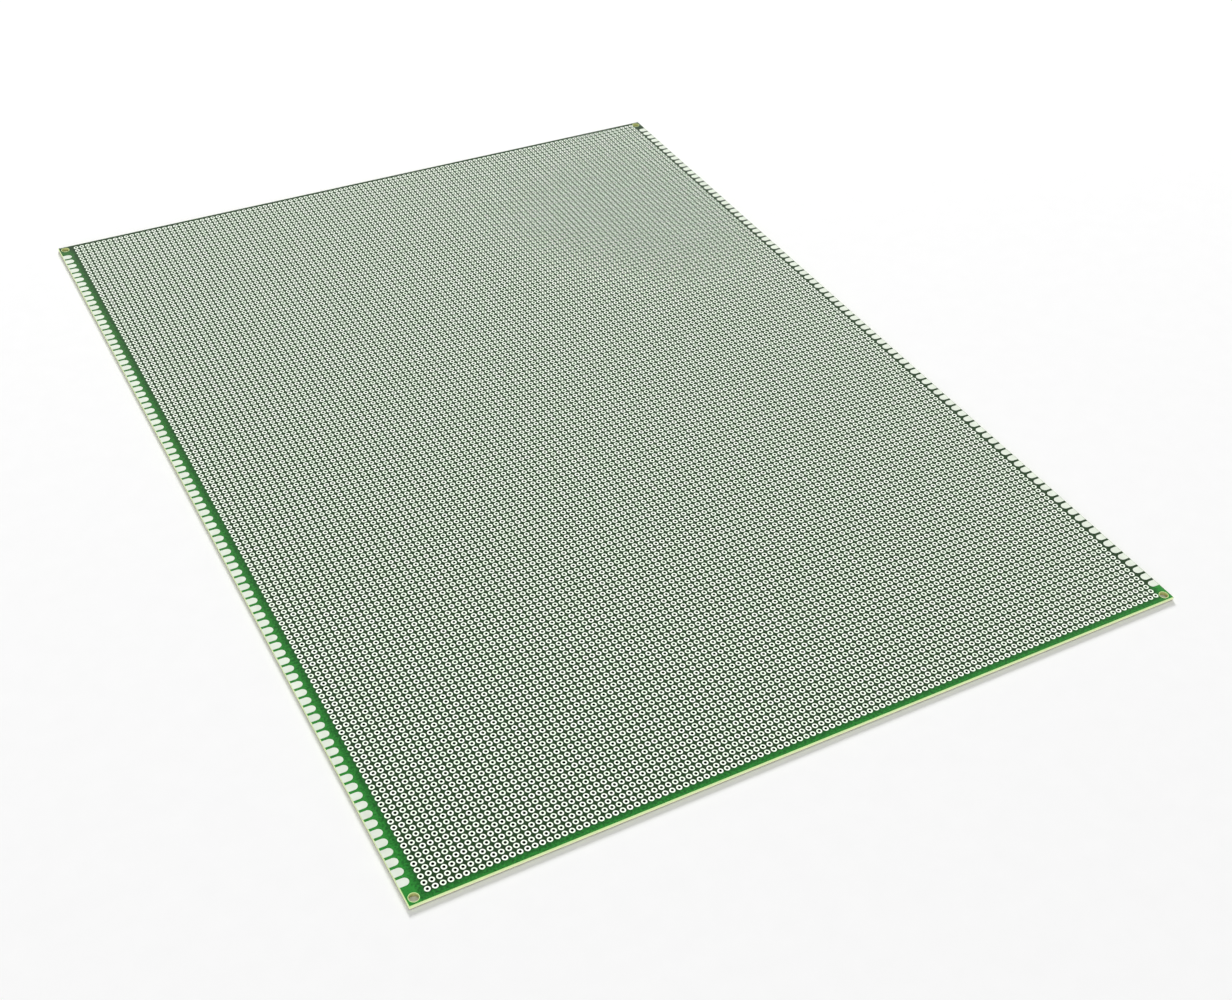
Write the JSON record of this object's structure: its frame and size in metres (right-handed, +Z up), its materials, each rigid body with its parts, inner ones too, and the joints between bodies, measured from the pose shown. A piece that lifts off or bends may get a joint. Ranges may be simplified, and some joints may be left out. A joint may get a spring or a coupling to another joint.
{
  "type": "prototype board",
  "caption": "Large flat prototype circuit board with a grid of plated holes, tinned contact fingers along both long sides and a mounting hole in each corner.",
  "frame": {"origin": "centre of the board's footprint, on the lowest face of the pads", "axes": "+Y along the long side, away from the viewer of the picture; +X to the right across the rows; +Z up, out of the face with the visible pads"},
  "size_m": [0.3, 0.4, 0.0016],
  "materials": {
    "glass_epoxy": "matt, sawn edge",
    "green_mask": "semi-gloss lacquer",
    "tin": "bright tinned copper"
  },
  "bodies": {
    "root": {"laminate": "glass_epoxy", "top_mask": "green_mask", "bottom_mask": "green_mask", "plated_holes": "tin", "edge_fingers": "tin"}
  },
  "joints": []
}
